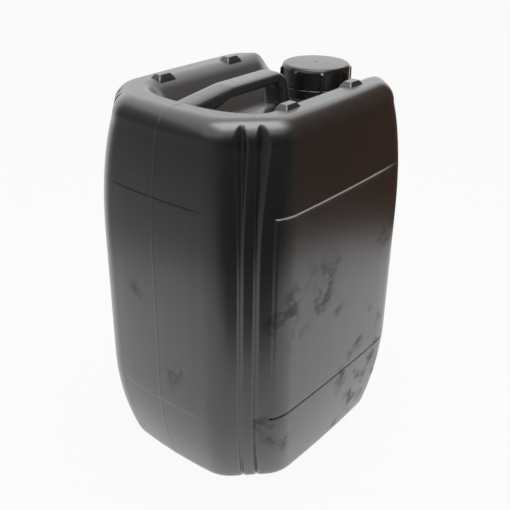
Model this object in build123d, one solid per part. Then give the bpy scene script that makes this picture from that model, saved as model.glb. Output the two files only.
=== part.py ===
import os
from math import acos, cos, radians, sin, sqrt, tan

from build123d import *

os.makedirs("parts", exist_ok=True)

# Canister, overall
length = 292.0          # over the end faces at their fullest
width = 231.4           # over the side faces at their fullest, without the panels
rim_height = 386.0      # level of the two rails and of the rear bridge
wall = 1.8              # blown wall

# Plan of the canister
end_crown = 3.5         # how far an end face bows out between its corners
side_crown = 2.0
corner_leg = 43.5       # the corner is a broad flat across the square corner
corner_round = 40.0     # rounding where that flat meets the faces
corner_shoulder = 8.0   # the flats widen by this towards the rim
corner_power = 6
corner_spare = 3.0      # the inside's corner flats are wider by this, for the rounding

# Upright profile of the canister
shoulder_height = 137.0
shoulder_start = rim_height - shoulder_height  # above this the walls lean in
foot_start = 115.0      # below this they draw in to the base
shoulder_power = 2.1
foot_power = 2.2
end_shoulder = 15.5     # lean at the rim level
side_shoulder = 8.5
end_foot = 20.5         # draw at the base
side_foot = 11.0
heel_radius = 13.0
rim_roll = 18.0         # outer roll of the rails and of the rear bridge
arc_turns = (90, 60, 30, 0)           # where the heel and the roll are sectioned, degrees
foot_shares = (0.4, 0.74, 1.0)        # of the foot's height
shoulder_shares = (0.4, 0.74, 0.9)    # of the shoulder's height, up to the roll

# Valley between the rails
valley_depth = 41.0
valley_floor = rim_height - valley_depth
rail_width = 37.7       # from a side face at its fullest
rail_edge = width / 2 - rail_width    # half the distance between the rails at rim level
bridge_width = 40.0     # from the rear end face at its fullest
bridge_edge = bridge_width - length / 2  # inner edge of the rear bridge
rail_slope = 43.0       # slope of the inner walls, degrees from level
bridge_slope = 60.0
valley_roll = 20.0
valley_fillet = 12.0
valley_corner = 34.0    # plan corner between rail and bridge
valley_crease = 12.0    # angle left between the rim and the start of the roll
valley_clear = 1.5      # the cut rises this far above the rim
valley_roll_shares = (1.0, 0.75, 0.5)  # where the roll is sectioned, of the slope's angle

# Neck and its well
neck_setback = 45.5     # axis behind the front end face
neck_x = length / 2 - neck_setback
neck_core = 28.25       # radius under the thread
neck_bore = 25.0
neck_drop = 5.1         # lip of the neck below the rim
neck_top = rim_height - neck_drop
collar_radius = 36.0
collar_height = 10.0
collar_top = valley_floor + collar_height
bead_radius = 32.6
bead_height = 2.6
bead_lift = 2.9         # underside of the bead above the collar
well_radius = 38.0      # at the floor
well_lean = 30.0        # of its wall, degrees from upright
mouth_flare = 37.0      # the well widens to the front, degrees each side

# Handle
handle_width = 26.0
handle_rise = 5.8       # above the rim
handle_top = rim_height + handle_rise
handle_lap = 2.0        # its rear end laps onto the bridge
handle_rear = bridge_edge - handle_lap
handle_ramp = 60.0
handle_bend = handle_rear + handle_ramp  # the handle rises from the bridge to here, then runs level
handle_gap = 68.5       # from its front to the neck's axis
handle_front = neck_x - handle_gap
handle_front_round = 16.0
handle_front_lean = 17.5
handle_front_foot = handle_front + handle_front_lean
handle_round = 5.4
handle_wall = 4.0       # thicker than the body's
handle_sink = 0.6       # how far its rear end and the lugs start below the rim
handle_foot_depth = 14.0  # its foot starts this far below the valley floor
grip_thickness = 11.6
hole_setback = 20.0     # behind it the bridge
hole_rear = bridge_edge + hole_setback
hole_arch = 40.0        # length of the arched rear end
hole_bend = hole_rear + hole_arch
handle_leg = 7.5        # front leg where it meets the top of the grip
hole_front = handle_front - handle_leg
hole_lift = 9.0
hole_floor = valley_floor + hole_lift
hole_round = 7.0

# Stacking lugs
lug_pitch_x = 100.0
lug_setback = 1.5       # lugs stand inside the rails' inner edges by this
lug_pitch_y = 2 * (rail_edge - lug_setback)
lug_base = (21.0, 13.5)
lug_top = (14.3, 8.0)
lug_height = 3.7

# Upright grooves, two at each corner
groove_offset = 6.9     # from the middle of the corner flat
groove_spread = 1.8     # further out at the shoulder
groove_depth = 1.8
groove_shoulder_depth = 5.2
groove_foot_depth = 1.9
groove_inner_run = 2.2  # width of the steep side, towards the middle rib
groove_outer_run = 3.4  # width of the shallow side
groove_inner_flare = 1.8  # added to those widths at the shoulder
groove_outer_flare = 6.0
groove_proud = 2.0      # the cutter stands out of the corner by this much

# Raised panels on the long sides
panel_rise = 0.8
panel_margin = 40.0     # from each end face
panel_length = length - 2 * panel_margin
panel_low = 92.0
panel_drop = 76.0       # upper edge below the rim
panel_high = rim_height - panel_drop
panel_depth = 14.0      # how deep the panel's stock reaches into the wall

# Hollow under the base
recess_end_margin = 42.0
recess_side_margin = 31.7
recess_length = length - 2 * recess_end_margin
recess_width = width - 2 * recess_side_margin
recess_corner = 40.0
recess_depth = 6.5
recess_taper = 20.0

# Cap, liner and tamper ring
cap_thickness = 3.1
cap_crown = 0.6
cap_skirt_radius = 36.0
cap_disc_radius = 35.0
cap_bore = 30.75
cap_edge = 1.2
cap_shoulder = 3.4      # height of the slope between disc and skirt
fin_count = 8
fin_width = 3.2
fin_radius = 38.0
fin_slope = 2.0
liner_clearance = 0.5
liner_thickness = 2.0
ring_radius = 36.4
ring_height = 9.4
ring_skirt_gap = 0.6    # between the ring and the skirt of the cap
ring_wall = 3.0
ring_lip_height = 2.4
ring_neck_clearance = 0.6

overshoot = 8.0         # how far cutting tools pass what they cut


def shoulder(z, amount, power=shoulder_power):
    reach = max(0.0, (z - shoulder_start) / (rim_height - shoulder_start))
    return amount * reach**power


def foot(z, amount):
    reach = max(0.0, (foot_start - z) / foot_start)
    return amount * reach**foot_power


def end_line(z):
    # distance of an end face from the middle, before heel and rolls
    return length / 2 - shoulder(z, end_shoulder) - foot(z, end_foot)


def side_line(z):
    return width / 2 - shoulder(z, side_shoulder) - foot(z, side_foot)


def round_over(depth, radius):
    # inset of a rounded edge at a depth inside its tangent line
    if depth <= 0:
        return 0.0
    return radius - sqrt(max(0.0, radius**2 - depth**2))


def groove_bottom(z):
    return groove_depth + shoulder(z, groove_shoulder_depth) + foot(z, groove_foot_depth)


def corner_width(z):
    return corner_leg + shoulder(z, corner_shoulder, corner_power)


def plan(z, skin):
    # outline of the canister at one level, drawn in by skin; the inside's corner flats clear the grooves
    heel = round_over(heel_radius - z, heel_radius - skin)
    roll = round_over(z - (rim_height - rim_roll), rim_roll - skin)
    end = end_line(z) - skin - heel - roll
    side = side_line(z) - skin - heel - roll
    leg = corner_width(z)
    if skin > 0:
        leg += sqrt(2) * groove_bottom(z) + corner_spare
    end_x = end - end_crown
    end_y = side - side_crown - leg
    side_x = end_x - leg
    side_y = side - side_crown
    edges = [
        ThreePointArc((-end_x, end_y), (-end, 0), (-end_x, -end_y)),
        Line((-end_x, -end_y), (-side_x, -side_y)),
        ThreePointArc((-side_x, -side_y), (0, -side), (side_x, -side_y)),
        Line((side_x, -side_y), (end_x, -end_y)),
        ThreePointArc((end_x, -end_y), (end, 0), (end_x, end_y)),
        Line((end_x, end_y), (side_x, side_y)),
        ThreePointArc((side_x, side_y), (0, side), (-side_x, side_y)),
        Line((-side_x, side_y), (-end_x, end_y)),
    ]
    outline = make_face(edges)
    if skin <= 0:
        outline = fillet(outline.vertices(), corner_round)
    return Pos(0, 0, z) * outline


def shoulder_levels():
    return [shoulder_start + (rim_height - rim_roll - shoulder_start) * share for share in shoulder_shares]


def body_form(skin):
    # the plain canister before valley, handle and neck
    heel_levels = [heel_radius - (heel_radius - skin) * sin(radians(a)) for a in arc_turns]
    roll_foot = rim_height - rim_roll
    roll_levels = [roll_foot + (rim_roll - skin) * sin(radians(a)) for a in reversed(arc_turns)]
    foot_levels = [foot_start * share for share in foot_shares]
    wall_levels = [(foot_start + shoulder_start) / 2, shoulder_start]
    levels = heel_levels + foot_levels + wall_levels + shoulder_levels() + roll_levels
    return loft([plan(z, skin) for z in levels])


def wall_reach(z, edge, slope, skin):
    # distance of a valley wall from the middle at one level: roll, slope, then floor fillet
    lean = radians(slope)
    roll = valley_roll - skin
    fillet_radius = valley_fillet + skin
    roll_z = rim_height - valley_roll
    floor_z = valley_floor - skin
    roll_foot_z = roll_z + roll * cos(lean)
    roll_foot = edge - roll * sin(lean)
    fillet_top_z = floor_z + fillet_radius * (1 - cos(lean))
    crease_z = roll_z + roll * cos(radians(valley_crease))
    if z > crease_z:
        return edge - roll * sin(radians(valley_crease)) + (z - crease_z) / tan(radians(valley_crease))
    if z >= roll_foot_z:
        return edge - roll * sin(acos((z - roll_z) / roll))
    if z >= fillet_top_z:
        return roll_foot - (roll_foot_z - z) / tan(lean)
    fillet_top = roll_foot - (roll_foot_z - fillet_top_z) / tan(lean)
    rise = (floor_z + fillet_radius - z) / fillet_radius
    return fillet_top - fillet_radius * (sin(lean) - sqrt(max(0.0, 1 - rise**2)))


def valley_form(skin):
    # trough between the rails, closed by the rear bridge and open to the front
    roll = valley_roll - skin
    fillet_radius = valley_fillet + skin
    fillet_turns = (0, rail_slope / 2, rail_slope, bridge_slope)
    roll_turns = [bridge_slope] + [rail_slope * share for share in valley_roll_shares] + [valley_crease]
    levels = [valley_floor - skin + fillet_radius * (1 - cos(radians(a))) for a in fillet_turns]
    levels += [rim_height - valley_roll + roll * cos(radians(a)) for a in roll_turns]
    levels.append(rim_height + valley_clear - skin)
    front = length / 2 + overshoot
    sections = []
    for z in levels:
        half = wall_reach(z, rail_edge, rail_slope, skin)
        rear = -wall_reach(z, -bridge_edge, bridge_slope, skin)
        outline = Pos((rear + front) / 2, 0, z) * Rectangle(front - rear, 2 * half)
        rear_corners = outline.vertices().group_by(Axis.X)[0]
        sections.append(fillet(rear_corners, valley_corner * half / rail_edge))
    return loft(sections, ruled=True)


def well_form(skin):
    # bowl about the neck, which opens to the front in a flared mouth
    lean = radians(well_lean)
    flare = radians(mouth_flare)
    front = length / 2 + overshoot
    sections = []
    for z in (valley_floor - skin, rim_height + overshoot):
        radius = well_radius + skin / cos(lean) + (z - valley_floor) * tan(lean)
        side_x = neck_x - radius * sin(flare)
        side_y = radius * cos(flare)
        mouth = side_y + (front - side_x) * tan(flare)
        outline = make_face(
            [
                ThreePointArc((side_x, side_y), (neck_x - radius, 0), (side_x, -side_y)),
                Polyline((side_x, -side_y), (front, -mouth), (front, mouth), (side_x, side_y)),
            ]
        )
        sections.append(Pos(0, 0, z) * outline)
    return loft(sections, ruled=True)


def handle_side(skin):
    # side view of the handle: level grip, rounded front leg, finger hole with an arched rear end
    foot_z = valley_floor - handle_foot_depth
    top = handle_top - skin
    ceiling = handle_top - grip_thickness + skin
    side = make_face(
        Polyline(
            (handle_rear, foot_z),
            (handle_rear, rim_height - handle_sink - skin),
            (handle_bend, top),
            (handle_front - skin, top),
            (handle_front_foot - skin, foot_z),
            close=True,
        )
    )
    front_corner = side.vertices().group_by(Axis.Z)[-1].sort_by(Axis.X)[-1]
    side = fillet(front_corner, handle_front_round - skin)
    front = hole_front + skin
    floor_z = hole_floor - skin
    arch = TangentArc((hole_bend, ceiling), (hole_rear - skin, floor_z), tangent=(-1, 0))
    hole = make_face(
        [
            arch,
            Line((hole_rear - skin, floor_z), (front, floor_z)),
            Line((front, floor_z), (front, ceiling)),
            Line((front, ceiling), (hole_bend, ceiling)),
        ]
    )
    return side - fillet(hole.vertices().group_by(Axis.X)[-1], hole_round)


def handle_outer():
    bar = extrude(Plane.XZ * handle_side(0), handle_width / 2, both=True)
    return fillet(bar.faces().filter_by(Axis.Y).edges(), handle_round)


def handle_inner():
    # square passage inside the rounded handle
    return extrude(Plane.XZ * handle_side(handle_wall), handle_width / 2 - handle_wall, both=True)


def lug_forms(skin):
    shrink = 2 * skin
    foot_z = rim_height - skin - handle_sink
    base = Pos(0, 0, foot_z) * Rectangle(lug_base[0] - shrink, lug_base[1] - shrink)
    top = Pos(0, 0, rim_height + lug_height - skin) * Rectangle(lug_top[0] - shrink, lug_top[1] - shrink)
    lug = loft([base, top])
    return [place * lug for place in GridLocations(lug_pitch_x, lug_pitch_y, 2, 2)]


def groove_forms():
    # two upright grooves at each corner, deeper and wider at the shoulder and the foot
    levels = [-overshoot, foot_start * foot_shares[0], foot_start, shoulder_start]
    levels += shoulder_levels() + [rim_height]
    tools = []
    for sign in (-1, 1):
        sections = []
        for z in levels:
            depth = groove_bottom(z)
            centre = groove_offset + shoulder(z, groove_spread)
            flare = (depth + groove_proud) / depth
            inner_run = (groove_inner_run + shoulder(z, groove_inner_flare)) * flare
            outer_run = (groove_outer_run + shoulder(z, groove_outer_flare)) * flare
            flat_x = -(end_line(z) - end_crown - corner_width(z) / 2)
            flat_y = -(side_line(z) - side_crown - corner_width(z) / 2)
            points = []
            for along, out in (
                (centre, -depth),
                (centre - inner_run, groove_proud),
                (centre + outer_run, groove_proud),
            ):
                shift = sign * along
                points.append((flat_x + (shift - out) / sqrt(2), flat_y - (shift + out) / sqrt(2)))
            sections.append(Pos(0, 0, z) * make_face(Polyline(*points, close=True)))
        tools.append(loft(sections))
    tools += [mirror(tool, about=Plane.XZ) for tool in tools]
    tools += [mirror(tool, about=Plane.YZ) for tool in tools]
    return tools


def recess_form(skin):
    # hollow under the base, which seats over the lugs of a can below
    outline = RectangleRounded(recess_length + 2 * skin, recess_width + 2 * skin, recess_corner)
    return Pos(0, 0, -overshoot) * extrude(outline, overshoot + recess_depth + skin, taper=recess_taper)


def panel_forms():
    grown = body_form(-panel_rise)
    middle = (panel_low + panel_high) / 2
    span = Box(panel_length, width + 2 * overshoot, panel_high - panel_low)
    core = Box(panel_length + overshoot, width - 2 * panel_depth, rim_height)
    return grown & (Pos(0, 0, middle) * (span - core))


def turned(points):
    # a ring turned about the neck's axis from (radius, height) points
    outline = make_face(Polyline(*points, close=True))
    return Pos(neck_x, 0, 0) * revolve(Plane.XZ * outline, Axis.Z)


def neck_form():
    bead_low = collar_top + bead_lift
    return turned(
        [
            (0, valley_floor - wall),
            (collar_radius, valley_floor - wall),
            (collar_radius, collar_top),
            (neck_core, collar_top),
            (neck_core, bead_low),
            (bead_radius, bead_low),
            (bead_radius, bead_low + bead_height / 2),
            (neck_core, bead_low + bead_height),
            (neck_core, neck_top),
            (0, neck_top),
        ]
    )


def bore_form():
    depth = neck_top - valley_floor + wall + 2 * overshoot
    return Pos(neck_x, 0, neck_top + overshoot - depth / 2) * Cylinder(neck_bore, depth)


def canister():
    outer = body_form(0) + panel_forms()
    outer -= [valley_form(0), well_form(0), recess_form(0)] + groove_forms()
    outer += [handle_outer(), neck_form()] + lug_forms(0)
    inner = body_form(wall)
    inner -= [valley_form(wall), well_form(wall), recess_form(wall)]
    inner += [handle_inner(), bore_form()] + lug_forms(wall)
    return outer - inner


skirt_low = collar_top + ring_height + ring_skirt_gap
cap_ceiling = neck_top + liner_thickness
cap_top = cap_ceiling + cap_thickness


def screw_cap():
    shell = turned(
        [
            (0, cap_ceiling),
            (cap_bore, cap_ceiling),
            (cap_bore, skirt_low),
            (cap_skirt_radius, skirt_low),
            (cap_skirt_radius, cap_top - cap_shoulder),
            (cap_disc_radius, cap_top - cap_edge),
            (cap_disc_radius - cap_edge, cap_top),
            (0, cap_top + cap_crown),
        ]
    )
    fin_side = make_face(
        Polyline(
            (cap_bore + (cap_skirt_radius - cap_bore) / 2, skirt_low),
            (fin_radius, skirt_low),
            (fin_radius, cap_top - cap_shoulder - fin_slope),
            (cap_disc_radius, cap_top - cap_shoulder + cap_edge),
            close=True,
        )
    )
    fin = extrude(Plane.XZ * fin_side, fin_width / 2, both=True)
    fins = [Pos(neck_x, 0, 0) * Rot(0, 0, 360 / fin_count * i) * fin for i in range(fin_count)]
    cap = shell
    for piece in fins:
        cap += piece - Pos(neck_x, 0, (skirt_low + cap_ceiling) / 2) * Cylinder(cap_bore, cap_ceiling - skirt_low)
    return cap


def tamper_ring():
    lip_top = collar_top + ring_lip_height
    lip_radius = neck_core + ring_neck_clearance
    return turned(
        [
            (ring_radius, collar_top),
            (ring_radius, collar_top + ring_height),
            (ring_radius - ring_wall, collar_top + ring_height),
            (ring_radius - ring_wall, lip_top),
            (lip_radius, lip_top),
            (lip_radius, collar_top),
        ]
    )


def sealing_liner():
    middle = neck_top + liner_thickness / 2
    return Pos(neck_x, 0, middle) * Cylinder(cap_bore - liner_clearance, liner_thickness)


pieces = {
    "canister": canister(),
    "screw_cap": screw_cap(),
    "tamper_ring": tamper_ring(),
    "sealing_liner": sealing_liner(),
}
for node, solid in pieces.items():
    export_step(solid, f"parts/{node}.step")
    print(node, round(solid.volume), solid.is_valid)
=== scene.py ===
import bpy
import numpy as np
from mathutils import Matrix, Vector


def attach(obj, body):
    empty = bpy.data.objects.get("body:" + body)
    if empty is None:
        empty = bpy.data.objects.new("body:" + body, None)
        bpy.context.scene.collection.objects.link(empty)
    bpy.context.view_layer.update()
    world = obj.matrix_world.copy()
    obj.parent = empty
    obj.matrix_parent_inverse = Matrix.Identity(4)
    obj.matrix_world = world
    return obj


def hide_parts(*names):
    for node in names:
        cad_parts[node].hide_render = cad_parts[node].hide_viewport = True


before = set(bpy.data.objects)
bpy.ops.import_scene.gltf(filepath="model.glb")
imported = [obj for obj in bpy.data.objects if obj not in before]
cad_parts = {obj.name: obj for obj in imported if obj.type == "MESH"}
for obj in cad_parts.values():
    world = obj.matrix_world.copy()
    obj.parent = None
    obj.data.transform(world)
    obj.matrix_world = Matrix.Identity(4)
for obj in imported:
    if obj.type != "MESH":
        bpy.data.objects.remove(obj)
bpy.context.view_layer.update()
mm = 0.001  # shapes are worked out in millimetres and put into the mesh in metres


# Small shape tools

def easeStep(low, high, x):  # 0 below low, 1 above high, an S curve between
    t = np.clip((x - low) / (high - low), 0, 1)
    return t * t * (3 - 2 * t)


def smoothMax(a, b, k):  # the larger of two, rounded where they come within k of each other
    h = np.clip(0.5 + (a - b) / (2 * k), 0, 1)
    return b + (a - b) * h + k * h * (1 - h)


def smoothMin(a, b, k):  # the smaller of two, rounded in the same way
    return -smoothMax(-a, -b, k)


def roundOver(depth, radius):  # inset of a rounded edge at a depth inside its tangent line
    d = np.clip(depth, 0, radius)
    return radius - np.sqrt(radius * radius - d * d)


def ringGrid(points, startPole=None, endPole=None, wrapRows=False):
    # rows of points run along the surface, columns close round it; poles or a wrap close the rows
    rows, cols = points.shape[:2]
    last = rows if wrapRows else rows - 1
    r = np.arange(last)[:, None]
    c = np.arange(cols)[None, :]
    n = (c + 1) % cols
    s = (r + 1) % rows
    quads = np.stack([r * cols + c, r * cols + n, s * cols + n, s * cols + c], -1).reshape(-1, 4)
    verts = points.reshape(-1, 3)
    tris = np.zeros((0, 3), int)
    one = np.arange(cols)
    two = (one + 1) % cols
    if startPole is not None:
        pole = np.full(cols, len(verts))
        verts = np.vstack([verts, np.asarray(startPole, float)])
        tris = np.vstack([tris, np.stack([pole, two, one], -1)])
    if endPole is not None:
        base = (rows - 1) * cols
        pole = np.full(cols, len(verts))
        verts = np.vstack([verts, np.asarray(endPole, float)])
        tris = np.vstack([tris, np.stack([base + one, base + two, pole], -1)])
    return verts, quads, tris


def makePiece(name, parts, body, node, material, sharpAngle, marks=None):
    # several closed skins become one object at the origin
    # marks are values on the first skin's points, such as a pale edge line and painted crease shade
    verts, quads, tris, offset = [], [], [], 0
    for v, q, t in parts:
        verts.append(v)
        quads.append(q + offset)
        tris.append(t + offset)
        offset += len(v)
    verts = np.vstack(verts) * mm
    quads = np.vstack(quads)
    tris = np.vstack(tris)
    loops = np.concatenate([quads.ravel(), tris.ravel()])
    sizes = np.concatenate([np.full(len(quads), 4), np.full(len(tris), 3)])
    mesh = bpy.data.meshes.new(name)
    mesh.vertices.add(len(verts))
    mesh.vertices.foreach_set("co", verts.astype(np.float32).ravel())
    mesh.loops.add(len(loops))
    mesh.loops.foreach_set("vertex_index", loops.astype(np.int32))
    mesh.polygons.add(len(sizes))
    mesh.polygons.foreach_set("loop_start", (np.cumsum(sizes) - sizes).astype(np.int32))
    mesh.polygons.foreach_set("loop_total", sizes.astype(np.int32))
    mesh.polygons.foreach_set("use_smooth", np.ones(len(sizes), bool))
    for label, values in (marks or {}).items():
        full = np.zeros(len(verts), np.float32)
        full[:len(values)] = values
        mesh.attributes.new(label, "FLOAT", "POINT").data.foreach_set("value", full)
    mesh.update(calc_edges=True)
    mesh.validate()
    mesh.set_sharp_from_angle(angle=np.radians(sharpAngle))
    piece = bpy.data.objects.new(name, mesh)
    bpy.context.scene.collection.objects.link(piece)
    mesh.materials.append(material)
    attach(piece, body)
    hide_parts(node)
    print(name, "has", 2 * len(quads) + len(tris), "triangles")


# Shared finishes

def newGroup(name, inputs, outputs):
    group = bpy.data.node_groups.new(name, "ShaderNodeTree")
    for label, kind, value in inputs:
        socket = group.interface.new_socket(label, in_out="INPUT", socket_type=kind)
        if value is not None:
            socket.default_value = value
    for label, kind in outputs:
        group.interface.new_socket(label, in_out="OUTPUT", socket_type=kind)
    return group, group.nodes.new("NodeGroupInput"), group.nodes.new("NodeGroupOutput")


def addNode(tree, kind, **settings):
    node = tree.nodes.new(kind)
    for key, value in settings.items():
        if key in node.inputs.keys():
            node.inputs[key].default_value = value
        else:
            setattr(node, key, value)
    return node


def mathNode(tree, operation, a, b):
    node = addNode(tree, "ShaderNodeMath", operation=operation)
    for i, value in enumerate((a, b)):
        if isinstance(value, (int, float)):
            node.inputs[i].default_value = value
        else:
            tree.links.new(value, node.inputs[i])
    return node.outputs[0]


def noiseNode(tree, vector, scale, detail, rough=0.5):
    node = addNode(tree, "ShaderNodeTexNoise", Scale=scale, Detail=detail, Roughness=rough)
    tree.links.new(vector, node.inputs["Vector"])
    return node.outputs["Fac"]


def rangeNode(tree, value, low, high, newLow, newHigh):
    node = addNode(tree, "ShaderNodeMapRange", interpolation_type="SMOOTHSTEP")
    tree.links.new(value, node.inputs["Value"])
    limits = {"From Min": low, "From Max": high, "To Min": newLow, "To Max": newHigh}
    for label, number in limits.items():
        node.inputs[label].default_value = number
    return node.outputs["Result"]


skinPattern = {
    "cloudScale": 9.0, "cloudRange": (0.5, 0.62), "fingerScale": 46.0, "fingerRange": (0.42, 0.66),
    "smudgeTop": (0.21, 0.28), "smudgeShare": 0.9,  # smudges fade out between these heights in metres
    "lineScale": 420.0, "lineStretch": 0.06, "lineRange": (0.3, 0.7),
    "speckScale": 330.0, "speckRange": (0.76, 0.8), "grainScale": 1400.0,
}


def makeMouldedSkin():
    # orange-peel grain, upright rub lines, cloudy smudges and pale specks of a handled moulding
    p = skinPattern
    group, entry, leave = newGroup(
        "mouldedSkin",
        [("Vector", "NodeSocketVector", None), ("Grain", "NodeSocketFloat", 1.0),
         ("Rub", "NodeSocketFloat", 1.0)],
        [("Smudge", "NodeSocketFloat"), ("Speck", "NodeSocketFloat"), ("Streak", "NodeSocketFloat"),
         ("Height", "NodeSocketFloat")],
    )
    links = group.links
    vector = entry.outputs["Vector"]
    stretch = addNode(group, "ShaderNodeMapping", vector_type="POINT")
    stretch.inputs["Scale"].default_value = (1.0, 1.0, p["lineStretch"])
    links.new(vector, stretch.inputs["Vector"])
    cloud = noiseNode(group, vector, p["cloudScale"], 2.0)
    fingers = noiseNode(group, vector, p["fingerScale"], 3.0, 0.6)
    lines = noiseNode(group, stretch.outputs["Vector"], p["lineScale"], 2.0, 0.6)
    patch = rangeNode(group, cloud, *p["cloudRange"], 0.0, 1.0)
    split = addNode(group, "ShaderNodeSeparateXYZ")
    links.new(vector, split.inputs["Vector"])
    low = rangeNode(group, split.outputs["Z"], *p["smudgeTop"], p["smudgeShare"], 0.0)
    smudge = mathNode(group, "MULTIPLY", patch, rangeNode(group, fingers, *p["fingerRange"], 0.0, 1.0))
    smudge = mathNode(group, "MULTIPLY", smudge, low)
    links.new(smudge, leave.inputs["Smudge"])
    dots = noiseNode(group, vector, p["speckScale"], 1.0)
    links.new(rangeNode(group, dots, *p["speckRange"], 0.0, 1.0), leave.inputs["Speck"])
    grain = noiseNode(group, vector, p["grainScale"], 2.0, 0.6)
    rub = mathNode(group, "MULTIPLY", lines, entry.outputs["Rub"])
    streak = rangeNode(group, lines, *p["lineRange"], 0.0, 1.0)
    links.new(mathNode(group, "MULTIPLY", streak, entry.outputs["Rub"]), leave.inputs["Streak"])
    height = mathNode(group, "ADD", mathNode(group, "MULTIPLY", grain, entry.outputs["Grain"]), rub)
    links.new(height, leave.inputs["Height"])
    return group


mouldedSkin = makeMouldedSkin()


def makePlastic(name, look):
    # moulded plastic or foam with pale specks; where it is handled, smudges change colour and gloss
    material = bpy.data.materials.new(name)
    material.use_nodes = True
    tree = material.node_tree
    shader = tree.nodes["Principled BSDF"]
    coords = addNode(tree, "ShaderNodeTexCoord")
    skin = addNode(tree, "ShaderNodeGroup", node_tree=mouldedSkin)
    skin.inputs["Grain"].default_value = look["grain"]
    skin.inputs["Rub"].default_value = look["rub"]
    tree.links.new(coords.outputs["Object"], skin.inputs["Vector"])
    smudge = skin.outputs["Smudge"]
    fleck = addNode(tree, "ShaderNodeMix", data_type="RGBA")
    fleck.inputs["A"].default_value = (*look["colour"], 1)
    fleck.inputs["B"].default_value = (*look["speckColour"], 1)
    if "smudgeColour" in look:
        tint = addNode(tree, "ShaderNodeMix", data_type="RGBA")
        tint.inputs["A"].default_value = (*look["colour"], 1)
        tint.inputs["B"].default_value = (*look["smudgeColour"], 1)
        tree.links.new(smudge, tint.inputs["Factor"])
        tree.links.new(tint.outputs["Result"], fleck.inputs["A"])
    specks = mathNode(tree, "MULTIPLY", skin.outputs["Speck"], look["specks"])
    tree.links.new(specks, fleck.inputs["Factor"])
    colour = fleck.outputs["Result"]
    if "paleLineColour" in look:  # the long panels' upper edges go pale; along the panels' edges painted shade goes dark and without gloss
        for label, key in (("paleEdgeLine", "paleLineColour"), ("paintedCreaseShade", "paintedShadeColour")):
            mark = addNode(tree, "ShaderNodeAttribute", attribute_name=label)
            over = addNode(tree, "ShaderNodeMix", data_type="RGBA")
            over.inputs["B"].default_value = (*look[key], 1)
            tree.links.new(colour, over.inputs["A"])
            tree.links.new(mark.outputs["Fac"], over.inputs["Factor"])
            colour = over.outputs["Result"]
        bare = rangeNode(tree, mark.outputs["Fac"], 0.0, 1.0, 1.0, 0.0)  # from the last mark, the painted crease shade
    tree.links.new(colour, shader.inputs["Base Color"])
    shader.inputs["Roughness"].default_value = look["roughness"]
    if "smudgeRoughness" in look:  # smudges and rub lines are duller
        rough = rangeNode(tree, smudge, 0.0, 1.0, look["roughness"], look["smudgeRoughness"])
        streak = mathNode(tree, "MULTIPLY", skin.outputs["Streak"], look["streaks"])
        tree.links.new(mathNode(tree, "ADD", rough, streak), shader.inputs["Roughness"])
    if "coat" in look:  # the gloss lies in a coat
        shader.inputs["Coat Weight"].default_value = look["coat"]
        shader.inputs["Coat IOR"].default_value = look["coatIor"]
        shader.inputs["Coat Roughness"].default_value = look["coatRoughness"]
    if "smudgeCoat" in look:  # smudges and the painted crease shade take the gloss off
        gloss = rangeNode(tree, smudge, 0.0, 1.0, look["coat"], look["smudgeCoat"])
        tree.links.new(mathNode(tree, "MULTIPLY", gloss, bare), shader.inputs["Coat Weight"])
    shader.inputs["IOR"].default_value = look["ior"]
    bump = addNode(tree, "ShaderNodeBump", Strength=look["bump"], Distance=look["bumpDistance"])
    tree.links.new(skin.outputs["Height"], bump.inputs["Height"])
    tree.links.new(bump.outputs["Normal"], shader.inputs["Normal"])
    return material


canisterLook = {
    "colour": (0.03, 0.032, 0.031), "smudgeColour": (0.018, 0.018, 0.018),
    "speckColour": (0.3, 0.3, 0.29), "specks": 0.35,
    # the darkest colour here is painted shade for the lines at the panels' edges
    "paleLineColour": (0.6, 0.6, 0.57), "paintedShadeColour": (0.003, 0.003, 0.003),
    "roughness": 0.3, "smudgeRoughness": 0.42, "ior": 1.5,
    "coat": 0.8, "smudgeCoat": 0.1, "coatIor": 1.64, "coatRoughness": 0.3,
    "grain": 0.6, "rub": 0.8, "streaks": 0.07, "bump": 0.12, "bumpDistance": 0.0004,
}
capLook = {
    "colour": (0.018, 0.018, 0.019), "speckColour": (0.3, 0.3, 0.3), "specks": 0.25,
    "roughness": 0.24, "ior": 1.5, "coat": 0.45, "coatIor": 1.5, "coatRoughness": 0.24,
    "grain": 0.3, "rub": 0.0, "bump": 0.08, "bumpDistance": 0.0003,
}
linerLook = {
    "colour": (0.72, 0.72, 0.69), "speckColour": (0.9, 0.9, 0.9), "specks": 0.2,
    "roughness": 0.7, "ior": 1.4,
    "grain": 1.0, "rub": 0.0, "bump": 0.3, "bumpDistance": 0.0004,
}
canisterPlastic = makePlastic("canisterPlastic", canisterLook)
capPlastic = makePlastic("capPlastic", capLook)
ringPlastic = makePlastic("ringPlastic", capLook)
linerFoam = makePlastic("linerFoam", linerLook)
print("finishes made")


# Canister body: one closed skin from the base, over the walls and rim, down the neck and back inside

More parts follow.
